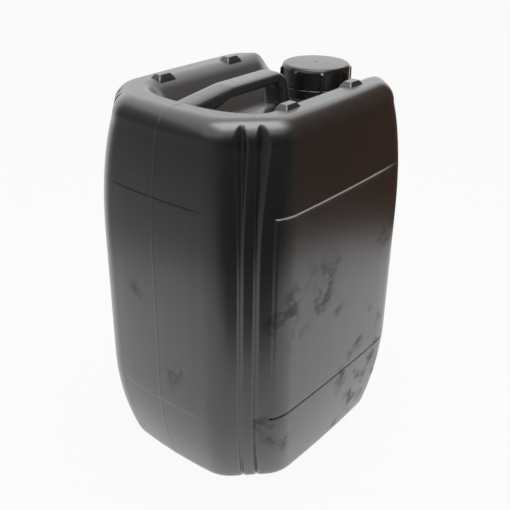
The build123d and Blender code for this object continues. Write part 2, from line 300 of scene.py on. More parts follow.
can = {
    "length": 292.0, "width": 231.4, "rim": 386.0, "wall": 1.8, "sharpAngle": 50,
    "endCrown": 3.5, "sideCrown": 2.0,  # how far the faces bow out
    "cornerLeg": 43.5, "cornerShoulder": 8.0, "cornerPower": 6.0, "cornerRound": 38.0, "cornerSpare": 3.0,
    "shoulderStart": 249.0, "footStart": 115.0, "shoulderPower": 2.1, "footPower": 2.2,
    "endShoulder": 15.5, "sideShoulder": 8.5, "endFoot": 20.5, "sideFoot": 11.0,
    "heel": 13.0, "roll": 18.0, "frontRoll": 1.6, "brow": 0.09,
    # valley between the rails, and its mouth to the front
    "valleyFloor": 345.0, "railFoot": 70.1, "bridgeFoot": -96.8, "railSlope": 43.0, "bridgeSlope": 60.0,
    "crestRound": 8.7, "floorRound": 5.2, "valleyCorner": 56.0,
    "mouthHalf": 47.6, "mouthFlare": 0.7536, "mouthRise": 1.383, "noseRound": 9.0,
    # two grooves a corner
    "grooveOffset": 7.0, "grooveSpread": 1.3,
    "grooveDepth": 1.8, "grooveShoulder": 5.2, "grooveFoot": 1.9,
    "grooveInner": 2.4, "grooveOuter": 2.8, "innerFlare": 3.0, "outerFlare": 7.2,
    "veeSoft": 0.12, "veeSoftLift": 0.3, "grooveRunout": 0.56, "runoutRound": 0.4, "runoutShift": 0.1,
    # raised panels of the sides and ends, and the mould's seam
    "panelRise": 1.4, "panelFlat": 0.15, "panelSill": 97.5, "panelBrow": 305.6, "panelStep": 1.0,
    "panelTurn": 0.22, "panelEdge": 0.06, "panelTaper": (66.0, 104.0),
    "sillGroove": 1.8, "sillDrop": 1.5, "sillWidth": 1.0,
    "panelEnd": 0.4, "panelLow": 92.0, "panelHigh": 310.0, "endStep": 0.9, "endFade": (0.75, 1.0),
    "seamRise": 0.28, "seamWidth": 0.45,
    # inside, under the top and over the heel
    "ceilingDraw": 0.3, "ceilingSkin": 1.7, "ceilingTop": 2.0, "ceilingFade": (0.8, 1.0),
    "heelFloor": 3.0, "heelShare": 0.95,
    # hollow under the base
    "recessLength": 208.0, "recessWidth": 168.0, "recessCorner": 40.0,
    "recessDepth": 6.5, "recessRun": 3.2,
}
neck = {
    "x": 100.5, "core": 28.25, "bore": 25.0, "top": 380.9, "lip": 0.9,
    "collar": 36.0, "collarFoot": 345.6, "collarTop": 355.0, "collarGap": 0.3,
    "bead": 32.6, "beadLift": 2.9, "beadHeight": 2.6,
}
bodyRows = {
    "rimRounds": 6, "heel": 9, "wall": 54, "roll": 15, "top": 52, "ceiling": 15, "inside": 14,
    "sill": (-3.0, 0.4, 10), "brow": (-0.2, 1.2, 6),  # from and to in panel steps, and how many
    "base": np.concatenate([[0.3, 0.6, 0.7], np.linspace(0.76, 1.0, 17)])[:-1],  # shares of the way out
    "floorIn": np.array([0.97, 0.93, 0.9, 0.86, 0.82, 0.5, 0.2]),
}


def shoulderShare(z, power):  # 0 below the shoulder, a power curve through 1 at the rim
    return np.clip((z - can["shoulderStart"]) / (can["rim"] - can["shoulderStart"]), 0, 1.2) ** power


def footShare(z):  # 0 above the foot, a power curve down to 1 at the base
    return np.clip((can["footStart"] - z) / can["footStart"], 0, 1) ** can["footPower"]


def makeColumns():
    # stations round one quarter: end arc, rounding, corner flat, rounding, side arc; then four quarters
    # they stand closer together at the seam and at the long panel's upright edge
    shares = [
        np.concatenate([[0, 0.008, 0.016, 0.035], np.linspace(0.09, 0.94, 12)]),
        np.linspace(0, 0.92, 11),
        np.linspace(0, 1, 35),
        np.concatenate([[0.05, 0.1], np.linspace(0.15, 0.29, 8), np.linspace(0.36, 0.93, 6)]),
        np.linspace(0, 1, 15),
    ]
    part = np.concatenate([np.full(len(s), i) for i, s in enumerate(shares)])
    share = np.concatenate(shares)
    flip = np.arange(len(part) - 2, 0, -1)
    order = np.arange(len(part))
    index = np.concatenate([order, flip, order, flip])
    there, back = np.ones(len(order)), np.ones(len(flip))
    signX = np.concatenate([there, -back, -there, back])
    signY = np.concatenate([there, back, -there, -back])
    return part[index], share[index], signX, signY


colPart, colShare, colX, colY = makeColumns()


def panelBand(z, low, high, step):  # 1 between a panel's lower and upper edge
    return easeStep(low - step, low, z) * (1 - easeStep(high, high + step, z))


def outline(z, skin=0.0, detail=True):
    # bowed faces with a rounded flat across each corner, which lean in above and draw in below
    # detail adds the panels, their sills and the seam; the grooves' depth is given back as a third value
    c = can
    heel = roundOver(c["heel"] - z, c["heel"] - skin)
    end = c["length"] / 2 - c["endShoulder"] * shoulderShare(z, c["shoulderPower"]) - skin - heel
    end = end - c["endFoot"] * footShare(z)
    side = c["width"] / 2 - c["sideShoulder"] * shoulderShare(z, c["shoulderPower"]) - skin - heel
    side = side - c["sideFoot"] * footShare(z)
    depth = c["grooveDepth"] + c["grooveShoulder"] * shoulderShare(z, c["shoulderPower"])
    depth = depth + c["grooveFoot"] * footShare(z)
    leg = c["cornerLeg"] + c["cornerShoulder"] * shoulderShare(z, c["cornerPower"])
    if skin > 0:
        leg = leg + np.sqrt(2) * depth + c["cornerSpare"]
    endX, endY = end - c["endCrown"], side - c["sideCrown"] - leg
    sideX, sideY = endX - leg, side - c["sideCrown"]
    endR = (endY**2 + c["endCrown"] ** 2) / (2 * c["endCrown"])
    sideR = (sideX**2 + c["sideCrown"] ** 2) / (2 * c["sideCrown"])
    endA, sideA = np.arcsin(endY / endR), np.arcsin(sideX / sideR)
    endT = c["cornerRound"] * np.tan((np.pi / 4 - endA) / 2)
    sideT = c["cornerRound"] * np.tan((np.pi / 4 - sideA) / 2)
    t = colShare[None, :] + 0 * z
    endTurn, sideTurn = endA - endT / endR, sideA - sideT / sideR

    def endArc(s):
        return end - endR + endR * np.cos(endTurn * s), endR * np.sin(endTurn * s)

    def sideArc(s):
        return sideR * np.sin(sideTurn * (1 - s)), side - sideR + sideR * np.cos(sideTurn * (1 - s))

    def rounding(p, q, r, turn, s):  # conic through p and r that aims at q
        w = np.cos(turn / 2)
        a, b, d = (1 - s) ** 2, 2 * w * s * (1 - s), s * s
        return [(a * p[i] + b * q[i] + d * r[i]) / (a + b + d) for i in (0, 1)]

    half = np.sqrt(0.5)
    flatA = (endX - endT * half, endY + endT * half)
    flatB = (sideX + sideT * half, sideY - sideT * half)
    options = [
        endArc(t),
        rounding(endArc(1 + 0 * t), (endX, endY), flatA, np.pi / 4 - endA, t),
        (flatA[0] + (flatB[0] - flatA[0]) * t, flatA[1] + (flatB[1] - flatA[1]) * t),
        rounding(flatB, (sideX, sideY), sideArc(0 * t), np.pi / 4 - sideA, t),
        sideArc(t),
    ]
    pick = np.broadcast_to(colPart[None, :], t.shape)
    x = np.select([pick == i for i in range(5)], [o[0] for o in options])
    y = np.select([pick == i for i in range(5)], [o[1] for o in options])
    along = np.abs(((x - (endX + sideX) / 2) - (y - (endY + sideY) / 2)) * half)
    groove = grooveDepthAt(along, z, depth) * (pick > 0) * (pick < 4)
    if detail:
        band = panelBand(z, c["panelSill"], c["panelBrow"], c["panelStep"])
        endBand = panelBand(z, c["panelLow"], c["panelHigh"], c["endStep"])
        turnLow, turnHigh = c["panelTurn"] - c["panelEdge"], c["panelTurn"] + c["panelEdge"]
        long = np.where(pick == 3, easeStep(turnLow, turnHigh, t), 1) * (pick >= 3)
        long = long * np.where(colX[None, :] > 0, 1 - easeStep(*c["panelTaper"], x), 1)
        carried = side - sideR + np.sqrt(sideR**2 - x**2)  # the side's arc carried on over the corner
        proud = c["panelRise"] + c["panelFlat"] * np.maximum(carried - y, 0)
        y = y + proud * band * long
        sill = np.exp(-(((z - c["panelSill"] + c["sillDrop"]) / c["sillWidth"]) ** 2))
        y = y - c["sillGroove"] * sill * long
        x = x + c["panelEnd"] * endBand * (pick == 0) * (1 - easeStep(*c["endFade"], t))
        x = x + c["seamRise"] * np.exp(-((y / c["seamWidth"]) ** 2)) * (pick == 0)
    return x * colX, y * colY, groove


def grooveDepthAt(along, z, depth):
    # two vee grooves a corner, steeper towards the middle rib, rounded at the bottom
    c = can
    lift = shoulderShare(z, c["shoulderPower"])
    centre = c["grooveOffset"] + c["grooveSpread"] * lift
    inner = c["grooveInner"] + c["innerFlare"] * lift
    outer = c["grooveOuter"] + c["outerFlare"] * lift
    q = np.where(along < centre, (centre - along) / inner, (along - centre) / outer)
    q = np.clip(q, 0, 1)
    soft = c["veeSoft"] + c["veeSoftLift"] * lift  # rounds the vee's bottom, more at the arched ends
    return depth * (1 - (np.hypot(q, soft) - soft) / (np.hypot(1, soft) - soft))


def topHeight(x, y):
    # level of the top: rails and bridge, the trough between them, the mouth that opens to the front
    c = can
    tanRail, tanBridge = np.tan(np.radians(c["railSlope"])), np.tan(np.radians(c["bridgeSlope"]))
    fromRail = (c["railFoot"] - np.abs(y)) * tanRail
    fromBridge = (x - c["bridgeFoot"]) * tanBridge
    r = c["valleyCorner"]
    corner = r - np.hypot(np.maximum(r - fromRail, 0), np.maximum(r - fromBridge, 0))
    drop = np.where((fromRail < r) & (fromBridge < r), corner, np.minimum(fromRail, fromBridge))
    deep = c["rim"] - c["valleyFloor"]
    drop = smoothMin(smoothMax(drop, 0 * drop, c["crestRound"]), deep + 0 * drop, c["floorRound"])
    half = c["mouthHalf"] + c["mouthFlare"] * (x - neck["x"])
    slope = c["valleyFloor"] + (np.abs(y) - half) * c["mouthRise"]
    mouth = smoothMax(slope, c["valleyFloor"] + 0 * slope, c["floorRound"])
    return smoothMin(c["rim"] - drop, mouth, c["noseRound"])


def recessHeight(x, y):
    # hollow under the base, a rounded rectangle with a short sloped wall
    c = can
    r = c["recessCorner"]
    dx = np.abs(x) - (c["recessLength"] / 2 - r)
    dy = np.abs(y) - (c["recessWidth"] / 2 - r)
    gap = np.hypot(np.maximum(dx, 0), np.maximum(dy, 0)) + np.minimum(np.maximum(dx, dy), 0) - r
    return c["recessDepth"] * easeStep(0, c["recessRun"], -gap)


def wallLevels():
    # heights from the heel to the rim, close together at the panels' lower and upper edges
    c = can
    longBand = (c["panelSill"], c["panelBrow"], c["panelStep"])
    endBand = (c["panelLow"], c["panelHigh"], c["endStep"])
    edges = []
    for low, high, step in (longBand, endBand):
        edges.append(low + np.linspace(*bodyRows["sill"]) * step)
        edges.append(high + np.linspace(*bodyRows["brow"]) * step)
    high = c["rim"] - c["roll"] * (1 + c["brow"])
    return np.unique(np.concatenate([np.linspace(c["heel"], high, bodyRows["wall"]), *edges]))


def makeBody():
    # the same columns run the whole way round, and rows lead from the middle of the base to the inside
    c = can
    cols = len(colPart)
    # rim: height and roll of each column, settled in a few rounds because the wall leans
    edge = np.full((1, cols), c["rim"] - c["roll"] * (1 + c["brow"]))
    for _ in range(bodyRows["rimRounds"]):
        ox, oy, _g = outline(edge, detail=False)
        top = topHeight(ox, oy)
        low = easeStep(0, 1, (c["rim"] - top) / (c["rim"] - c["valleyFloor"]))
        roll = c["roll"] + (c["frontRoll"] - c["roll"]) * low
        edge = top - roll * (1 + c["brow"])
    tx = np.roll(ox, -1, 1) - np.roll(ox, 1, 1)
    ty = np.roll(oy, -1, 1) - np.roll(oy, 1, 1)
    size = np.hypot(tx, ty)
    inX, inY = -ty / size, tx / size

    # base, from the middle of the hollow out to the heel
    zero = np.zeros((1, cols))
    bx, by, _g = outline(zero, detail=False)
    share = bodyRows["base"][:, None]
    baseX, baseY = bx * share, by * share
    base = np.stack([baseX, baseY, recessHeight(baseX, baseY)], -1)

    # heel and wall, each column up to its own rim
    turn = np.radians(np.linspace(0, 90, bodyRows["heel"]))[:, None]
    heelZ = c["heel"] * (1 - np.cos(turn)) + zero
    level = wallLevels()
    full = c["rim"] - c["roll"] * (1 + c["brow"])
    rimShare = easeStep(c["shoulderStart"], full, level)[:, None]
    wallZ = level[1:, None] + (edge - full) * rimShare[1:]
    z = np.vstack([heelZ, wallZ])
    wx, wy, groove = outline(z)
    half = np.sqrt(0.5)
    fade = easeStep(0, c["heel"], z)
    wall = np.stack([wx - groove * fade * half * colX, wy - groove * fade * half * colY, z], -1)

    # roll over the rim: inset and drop of a quarter circle, the grooves run out in it
    a = np.radians(np.linspace(0, 90, bodyRows["roll"]))[1:, None]
    gx, gy, gTop = outline(edge)
    inset = roll * (1 - np.cos(a))
    runout = gTop - inset * np.where(colX < 0, c["grooveRunout"], 1)
    cut = np.maximum(smoothMax(runout, 0 * inset, c["runoutRound"]) - c["runoutShift"], 0)
    rx = gx + inX * inset - cut * half * colX
    ry = gy + inY * inset - cut * half * colY
    rz = topHeight(rx, ry) - roll * (1 - np.sin(a)) - c["brow"] * (roll - inset)
    rim = np.stack([rx, ry, rz], -1)

    # top, along rays from the rim to the neck
    qx, qy = rx[-1:], ry[-1:]
    angle = np.arctan2(qy, qx - neck["x"])
    foot = neck["collar"] + neck["collarGap"]
    nx, ny = neck["x"] + foot * np.cos(angle), foot * np.sin(angle)
    s = np.linspace(0, 1, bodyRows["top"])[1:, None]
    px, py = qx + (nx - qx) * s, qy + (ny - qy) * s
    seam = c["seamRise"] * np.exp(-((py / c["seamWidth"]) ** 2)) * (px < c["bridgeFoot"])
    plate = np.stack([px, py, topHeight(px, py) + seam], -1)

    # neck: collar, bead, core, lip and bore as one turned profile
    n = neck
    bead = n["collarTop"] + n["beadLift"]
    profile = np.array([
        (n["collar"], n["collarFoot"]), (n["collar"], n["collarTop"] - 0.5),
        (n["collar"] - 0.5, n["collarTop"]), (n["core"] + 0.6, n["collarTop"]),
        (n["core"], n["collarTop"] + 0.6), (n["core"], bead), (n["bead"] - 0.4, bead),
        (n["bead"], bead + 0.4), (n["bead"], bead + n["beadHeight"] / 2),
        (n["core"], bead + n["beadHeight"]), (n["core"], n["top"] - n["lip"]),
        (n["core"] - 0.3 * n["lip"], n["top"] - 0.3 * n["lip"]), (n["core"] - n["lip"], n["top"]),
        (n["bore"] + 0.8, n["top"]), (n["bore"] + 0.2, n["top"] - 0.2), (n["bore"], n["top"] - 0.8),
        (n["bore"], c["valleyFloor"] - c["wall"]),
    ])
    radius, height = profile[:, :1], profile[:, 1:]
    stem = np.stack([n["x"] + radius * np.cos(angle), radius * np.sin(angle), height + zero], -1)

    # inside: under the top, down the wall, over the base
    skin = c["wall"]
    innerEdge = edge - skin
    ix, iy, _g = outline(innerEdge, skin, detail=False)
    draw = (roll - skin) * c["ceilingDraw"]
    ix, iy = ix + inX * draw, iy + inY * draw
    s = np.linspace(0, 1, bodyRows["ceiling"])[1:, None]
    mx = n["x"] + n["bore"] * np.cos(angle)
    my = n["bore"] * np.sin(angle)
    ux, uy = mx + (ix - mx) * s, my + (iy - my) * s
    uz = np.minimum(topHeight(ux, uy) - c["ceilingSkin"] * skin, c["rim"] - c["ceilingTop"] * skin)
    uz = uz + (innerEdge - uz[-1:]) * easeStep(*c["ceilingFade"], s)
    ceiling = np.stack([ux, uy, uz], -1)
    down = np.linspace(0, 1, bodyRows["inside"])[1:, None]
    dz = innerEdge + (c["heel"] - innerEdge) * down
    dx, dy, _g = outline(dz, skin, detail=False)
    inside = np.stack([dx, dy, dz], -1)
    fx, fy, _g = outline(zero + c["heel"], skin, detail=False)
    share = bodyRows["floorIn"][:, None]
    floorX, floorY = fx * share, fy * share
    heelZ = c["heelFloor"] * (share > c["heelShare"])
    floorZ = np.maximum(recessHeight(floorX, floorY), heelZ) + skin
    floorIn = np.stack([floorX, floorY, floorZ], -1)
    rows = np.concatenate([base, wall, rim, plate, stem, ceiling, inside, floorIn])
    depth = c["recessDepth"]
    return ringGrid(rows, (0, 0, depth), (0, 0, depth + skin))


# Handle: a rounded section carried round the finger hole, its underside sunk in the body's wall

grip = {
    "width": 26.0, "power": 3.3,
    "outer": [(-113, 384.6), (-48, 391.8), (32, 391.8), (45.8, 343.9), (-70, 343.9), (-99, 383.5)],
    "outerRound": [2, 70, 16, 2, 3, 3],
    "hole": [(-76, 369.5), (-54, 380.2), (24, 380.2), (26.5, 354), (-84, 354), (-84, 358)],
    "holeRound": [14, 40, 8, 8, 2, 3],
    "sides": 44, "edgeSteps": 16, "arcSteps": 12,
}


def roundedLoop(corners, radii, edgeSteps, arcSteps):
    # closed outline with conic corners; every corner and edge gets the same number of points
    p = np.array(corners, float)
    before, after = np.roll(p, 1, 0), np.roll(p, -1, 0)
    back, on = before - p, after - p
    backLen, onLen = np.linalg.norm(back, axis=1), np.linalg.norm(on, axis=1)
    back, on = back / backLen[:, None], on / onLen[:, None]
    turn = np.pi - np.arccos(np.clip((back * on).sum(1), -1, 1))
    most = 0.48 * np.minimum(backLen, onLen)  # a corner takes up less than half of each edge
    cut = np.minimum(np.array(radii) * np.tan(turn / 2), most)
    a, b = p + back * cut[:, None], p + on * cut[:, None]
    s = np.linspace(0, 1, arcSteps)[None, :, None]
    w = np.cos(turn / 2)[:, None, None]
    top = (1 - s) ** 2 * a[:, None] + 2 * w * s * (1 - s) * p[:, None] + s * s * b[:, None]
    arc = top / ((1 - s) ** 2 + 2 * w * s * (1 - s) + s * s)
    e = np.linspace(0, 1, edgeSteps + 2)[None, 1:-1, None]
    edge = b[:, None] + (np.roll(a, -1, 0) - b)[:, None] * e
    return np.concatenate([arc, edge], 1).reshape(-1, 2)


def makeHandle():
    # a rounded square section, set between matching points of the outer outline and the hole
    g = grip
    outer = roundedLoop(g["outer"], g["outerRound"], g["edgeSteps"], g["arcSteps"])
    hole = roundedLoop(g["hole"], g["holeRound"], g["edgeSteps"], g["arcSteps"])
    a = np.linspace(0, 2 * np.pi, g["sides"], endpoint=False)[None, :]
    bulge = 2 / g["power"]
    across = np.sign(np.cos(a)) * np.abs(np.cos(a)) ** bulge
    through = np.sign(np.sin(a)) * np.abs(np.sin(a)) ** bulge
    middle, reach = (outer + hole) / 2, (outer - hole) / 2
    x = middle[:, :1] + reach[:, :1] * through
    z = middle[:, 1:] + reach[:, 1:] * through
    y = g["width"] / 2 * across + 0 * x
    return ringGrid(np.stack([x, y, z], -1), wrapRows=True)


# Stacking lugs: low frusta with softened edges, one on each end of each rail

lug = {
    "pitchX": 100.0, "pitchY": 153.0, "base": (21.0, 13.5), "top": (14.3, 8.0),
    "height": 3.7, "sink": 3.0, "sides": 56, "power": 9.0,
    "shares": [-0.8, 0, 0.1, 0.5, 0.86, 0.95, 0.99, 1, 1],  # level of each row, of the height
    "grow": [0, 0, 0, 0, 0, -0.03, -0.16, -0.4, -2.2],  # draws the brow's rows in
}


def makeLugs():
    # rounded rectangles stacked up: foot flare, sloped sides, softened brow, flat top
    share = np.array(lug["shares"])[:, None]
    rise = np.where(share < 0, -lug["sink"], share * lug["height"])
    slope = np.clip(share, -0.5, 1)
    grow = np.array(lug["grow"])[:, None]
    a = np.linspace(0, 2 * np.pi, lug["sides"], endpoint=False)[None, :]
    bulge = 2 / lug["power"]
    cx = np.sign(np.cos(a)) * np.abs(np.cos(a)) ** bulge
    cy = np.sign(np.sin(a)) * np.abs(np.sin(a)) ** bulge
    x = ((lug["base"][0] + (lug["top"][0] - lug["base"][0]) * slope) / 2 + grow) * cx
    y = ((lug["base"][1] + (lug["top"][1] - lug["base"][1]) * slope) / 2 + grow) * cy
    parts = []
    for sx in (-0.5, 0.5):
        for sy in (-0.5, 0.5):
            mid = np.array([sx * lug["pitchX"], sy * lug["pitchY"], can["rim"]])
            rows = np.stack([x, y, rise + 0 * x], -1) + mid
            parts.append(ringGrid(rows, mid - (0, 0, lug["sink"]), mid + (0, 0, lug["height"])))
    return parts


# Threads of the neck and of the cap

thread = {
    "pitch": 6.0, "turns": 2.2, "low": 363.6, "height": 1.9, "foot": 2.5, "crest": 1.1, "sink": 0.3,
    "steps": 72, "run": 0.5, "thin": 0.3,  # steps a turn, length of the run-out, its width at the tip
    "capLift": 4.5, "capTurns": 1.6,
}


def makeThread(radius, outward, start, turns):
    # trapezoid carried along a helix, tapered to nothing at both ends
    t = thread
    a = np.linspace(0, 2 * np.pi * turns, int(t["steps"] * turns))[:, None]
    taper = easeStep(0, t["run"], a) * (1 - easeStep(a[-1] - t["run"], a[-1], a))
    across = np.array([-t["foot"], -t["crest"], t["crest"], t["foot"]])[None, :] / 2
    out = np.array([-t["sink"], t["height"], t["height"], -t["sink"]])[None, :]
    r = radius + outward * (np.where(out > 0, out * taper, out))
    wide = t["thin"] + (1 - t["thin"]) * taper
    z = start + t["pitch"] * a / (2 * np.pi) + outward * across * wide
    rows = np.stack([neck["x"] + r * np.cos(a), r * np.sin(a), z], -1)[:, ::-1]
    return ringGrid(rows, rows[0].mean(0), rows[-1].mean(0))


# Marks at the panels' edges, as values on the body's points

edgeMarks = {
    "sideReach": 14.0, "endReach": 9.0,  # how far in from the faces the marks may lie
    # the first rows place the painted shade lines, the last the pale line
    "shadeTop": (-0.7, -0.2), "shadeFoot": (2.4, 3.0),  # below the sill, in steps of the panel's edge
    "shadeRear": (-108, -95), "shadeFront": (85, 104),
    "fineFoot": (-0.2, 0.3), "fineTop": (0.6, 1.1), "fineEnds": (52, 66), "fineShare": 0.6,
    "paleFoot": (-0.3, 0.2), "paleTop": (0.7, 1.1),
    "paleRear": (-105, -86), "paleFront": (40, 100), "paleShare": 0.9,
}


def panelPaintedShade(points):
    # painted shade: a dark line under the lower edge of each long panel and along the upper edge of each
    # end panel
    m = edgeMarks
    x, y, z = points.T
    under = (can["panelSill"] - z) / can["panelStep"]
    line = easeStep(*m["shadeTop"], under) * (1 - easeStep(*m["shadeFoot"], under))
    line = line * easeStep(*m["shadeRear"], x) * (1 - easeStep(*m["shadeFront"], x))
    line = line * (np.abs(y) > can["width"] / 2 - m["sideReach"])
    over = (z - can["panelHigh"]) / can["endStep"]
    fine = easeStep(*m["fineFoot"], over) * (1 - easeStep(*m["fineTop"], over))
    fine = fine * (np.abs(x) > can["length"] / 2 - m["endReach"])
    fine = fine * (1 - easeStep(*m["fineEnds"], np.abs(y)))
    return np.maximum(line, m["fineShare"] * fine)


def panelPaleLine(points):
    # pale line along the upper edge of each long panel, fading to both ends
    m = edgeMarks
    x, y, z = points.T
    share = (z - can["panelBrow"]) / can["panelStep"]
    line = easeStep(*m["paleFoot"], share) * (1 - easeStep(*m["paleTop"], share))
    length = easeStep(*m["paleRear"], x) * (1 - easeStep(*m["paleFront"], x))
    return m["paleShare"] * line * length * (np.abs(y) > can["width"] / 2 - m["sideReach"])


bodyParts = [makeBody(), makeHandle(), *makeLugs()]
bodyParts.append(makeThread(neck["core"], 1, thread["low"], thread["turns"]))
# the second mark is painted shade along the panels' edges
bodyMarks = {"paleEdgeLine": panelPaleLine(bodyParts[0][0]), "paintedCreaseShade": panelPaintedShade(bodyParts[0][0])}
makePiece("canister_shell", bodyParts, "canister", "canister", canisterPlastic,
          can["sharpAngle"], bodyMarks)


# Screw cap: a turned shell with eight fins

cap = {
    "top": 386.0, "crown": 0.6, "pip": 0.35, "skirt": 36.0, "disc": 35.0, "bore": 30.75,
    "edge": 1.8, "shoulder": 3.4, "skirtLow": 365.0, "skirtRows": (370, 376), "ceiling": 382.9,
    "middle": 12, "sharpAngle": 40,
    "fins": 8, "finWidth": 3.2, "finRadius": 38.0, "finEdge": 0.25, "finTop": (-2.2, 1.7),
    "flank": [-1.25, -1.1, -1, -0.85, -0.5, 0, 0.5, 0.85, 1, 1.1, 1.25],  # of half a fin's width
    "between": 16,
}


def capAngles():
    # close stations at each fin's flanks, wider ones between
    flank = np.degrees(cap["finWidth"] / 2 / cap["skirt"])
    near = np.array(cap["flank"]) * flank
    step = 360 / cap["fins"]
    between = np.linspace(near[-1], step + near[0], cap["between"])[1:-1]
    one = np.concatenate([near, between])
    return np.radians((np.arange(cap["fins"])[:, None] * step + one[None, :]).ravel())


def makeCap():
    # a profile of radius and height, turned about the neck's axis; at the fins it is pushed out
    c = cap
    a = capAngles()[None, :]
    step = 2 * np.pi / c["fins"]
    off = np.abs((a + step / 2) % step - step / 2) * c["skirt"]
    fin = 1 - easeStep(c["finWidth"] / 2 - c["finEdge"], c["finWidth"] / 2 + c["finEdge"], off)
    brow = c["top"] - c["shoulder"]
    profile = np.array([
        (c["middle"], c["ceiling"]), (c["bore"] - 0.6, c["ceiling"]), (c["bore"], c["ceiling"] - 0.6),
        (c["bore"], c["skirtLow"] + 0.5), (c["bore"] + 0.5, c["skirtLow"]),
        (c["skirt"] - 0.5, c["skirtLow"]), (c["skirt"], c["skirtLow"] + 0.5),
        (c["skirt"], c["skirtRows"][0]), (c["skirt"], c["skirtRows"][1]),
        (c["skirt"], brow - 1.6), (c["skirt"], brow - 0.9),
        (c["skirt"] - 0.05, brow - 0.2), (c["skirt"] - 0.3, brow + 0.5), (c["disc"] + 0.1, brow + 1.6),
        (c["disc"], c["top"] - c["edge"]), (c["disc"] - 0.24, c["top"] - 0.7 * c["edge"]),
        (c["disc"] - 0.8, c["top"] - 0.34 * c["edge"]), (c["disc"] - 1.7, c["top"] - 0.08 * c["edge"]),
        (c["disc"] - 2.8, c["top"] + 0.1), (c["disc"] - 4.5, c["top"] + 0.2), (24, c["top"] + 0.34),
        (c["middle"], c["top"] + 0.55), (3.2, c["top"] + c["crown"]), (2.4, c["top"] + c["crown"]),
        (1.4, c["top"] + c["crown"] - c["pip"]),
    ])
    r, z = profile[:, :1], profile[:, 1:]
    finLow, finHigh = brow + c["finTop"][0], brow + c["finTop"][1]
    outside = (np.arange(len(profile))[:, None] >= 5) & (z < finHigh)  # the first five rows are inside
    reach = c["finRadius"] - r - easeStep(finLow, finHigh, z) * (c["finRadius"] - c["disc"])
    r = r + np.where(outside, fin * np.maximum(reach, 0), 0)
    rows = np.stack([neck["x"] + r * np.cos(a), r * np.sin(a), z + 0 * r], -1)
    pit = c["top"] + c["crown"] - c["pip"]
    return ringGrid(rows, (neck["x"], 0, c["ceiling"]), (neck["x"], 0, pit))


capParts = [makeCap(), makeThread(cap["bore"], -1, thread["low"] + thread["capLift"], thread["capTurns"])]
makePiece("screw_cap_shell", capParts, "cap", "screw_cap", capPlastic, cap["sharpAngle"])


# Tamper ring: a turned band with the stubs of its broken bridges

ring = {
    "radius": 36.4, "low": 355.0, "height": 9.4, "wall": 3.0, "lip": 2.4, "inner": 28.85, "edge": 0.4,
    "stubs": 16, "stubWidth": 2.0, "stubEdge": 0.3, "stubRise": 0.4, "sides": 320, "sharpAngle": 40,
}


def makeRing():
    # a hooked profile turned about the neck's axis; at the stubs its upper edge is lifted
    t = ring
    a = np.linspace(0, 2 * np.pi, t["sides"], endpoint=False)[None, :]
    top, lip, e = t["low"] + t["height"], t["low"] + t["lip"], t["edge"]
    inside = t["radius"] - t["wall"]
    profile = np.array([
        (t["inner"], t["low"]), (t["radius"] - e, t["low"]), (t["radius"], t["low"] + e),
        (t["radius"], t["low"] + 3.2), (t["radius"], top - 2.6), (t["radius"], top - e),
        (t["radius"] - e, top), (inside + e, top), (inside, top - e), (inside, lip), (t["inner"], lip),
    ])
    r, z = profile[:, :1], profile[:, 1:]
    step = 2 * np.pi / t["stubs"]
    off = np.abs((a + step / 2) % step - step / 2) * t["radius"]
    stub = 1 - easeStep(t["stubWidth"] / 2 - t["stubEdge"], t["stubWidth"] / 2 + t["stubEdge"], off)
    z = z + t["stubRise"] * stub * (z > top - 0.1)
    rows = np.stack([neck["x"] + r * np.cos(a) + 0 * z, r * np.sin(a) + 0 * z, z + 0 * a], -1)
    return ringGrid(rows, wrapRows=True)


makePiece("tamper_band", [makeRing()], "canister", "tamper_ring", ringPlastic,
          ring["sharpAngle"])


# Sealing liner: a soft disc under the cap's ceiling

liner = {
    "radius": 30.25, "low": 380.9, "thick": 2.0, "edge": 0.5, "middle": 10.0,
    "sides": 128, "sharpAngle": 40,
}


def makeLiner():
    # a flat profile with softened edges, turned about the neck's axis
    t = liner
    a = np.linspace(0, 2 * np.pi, t["sides"], endpoint=False)[None, :]
    top, e = t["low"] + t["thick"], t["edge"]
    profile = np.array([
        (t["middle"], t["low"]), (t["radius"] - e, t["low"]), (t["radius"] - 0.1, t["low"] + 0.3 * e),
        (t["radius"], t["low"] + e), (t["radius"], top - e), (t["radius"] - 0.1, top - 0.3 * e),
        (t["radius"] - e, top), (t["middle"], top),
    ])
    r, z = profile[:, :1], profile[:, 1:]
    rows = np.stack([neck["x"] + r * np.cos(a), r * np.sin(a), z + 0 * a], -1)
    return ringGrid(rows, (neck["x"], 0, t["low"]), (neck["x"], 0, top))


makePiece("liner_disc", [makeLiner()], "liner", "sealing_liner", linerFoam,
          liner["sharpAngle"])


# Stage: pale floor, dark card for the gloss, soft lamps, the photograph's camera

stage = {
    "floorSize": 30.0, "floorColour": (0.9, 0.9, 0.9), "floorRoughness": 0.9, "floorSpecular": 0.1,
    "whiteShare": 0.94, "worldGrey": 0.17, "aim": (0.0, 0.0, 0.25),
    "backLamp": {"place": (1.5, 1.5, 1.6), "size": (2.4, 1.6), "power": 2.2},
    "topLamp": {"place": (-0.05, -0.1, 1.4), "size": (0.8, 0.8), "power": 8.0},
}
card = {
    "turn": (110, 362, 64), "radius": 0.57, "height": 0.62, "lift": 0.001, "black": (0.01, 0.01, 0.01),
    "bulge": 0.18, "bulgeTurn": 230, "bulgeSpread": 20,  # comes nearer opposite the ribbed corner
    "rises": [(0.45, 230, 300), (0.4, 300, 335), (0.2, 175, 120)],  # by how much, from and to which turn
    # the card's grey and warm glow are painted reflections, seen only in the gloss
    "grey": (0.35, 0.36, 0.35), "greyReach": (-0.31, -0.08), "greyFade": (0.05, 0.5, 1.1, 0.3),
    "warm": (0.11, 0.05, 0.028), "warmReach": (-0.08, 0.25),
}


